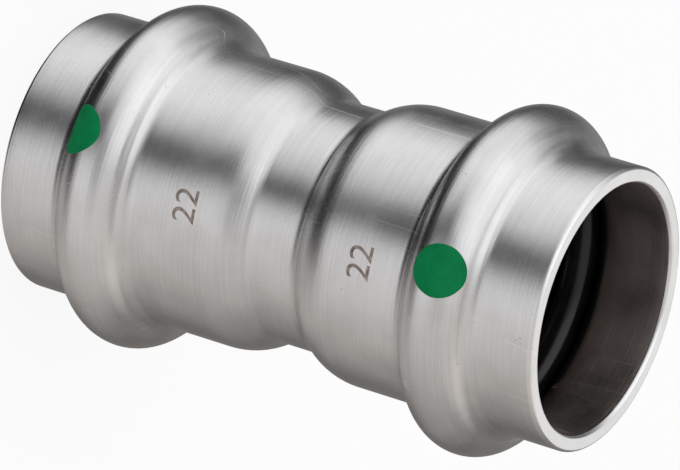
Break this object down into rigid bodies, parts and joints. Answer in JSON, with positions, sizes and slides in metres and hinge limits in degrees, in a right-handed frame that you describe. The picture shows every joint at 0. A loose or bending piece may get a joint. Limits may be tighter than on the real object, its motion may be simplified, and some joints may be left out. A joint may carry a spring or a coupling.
{
  "type": "press fit fitting",
  "caption": "Straight steel press coupling: a drawn tube with a sealing bead near each mouth, a rubber ring in each bead and a waist that stops the pipes.",
  "frame": {"origin": "centre of the rear mouth's end face, on which the fitting stands", "axes": "+Z along the fitting's axis to the front mouth, -Y towards the paint dot on the front bead"},
  "size_m": [0.0312, 0.0313, 0.0542],
  "materials": {
    "steel": "satin",
    "seal_rubber": "smooth",
    "green_paint": "satin"
  },
  "bodies": {
    "root": {"fitting_body": "steel", "front_seal": "seal_rubber", "rear_seal": "seal_rubber", "front_dot": "green_paint", "rear_dot": "green_paint"}
  },
  "joints": []
}
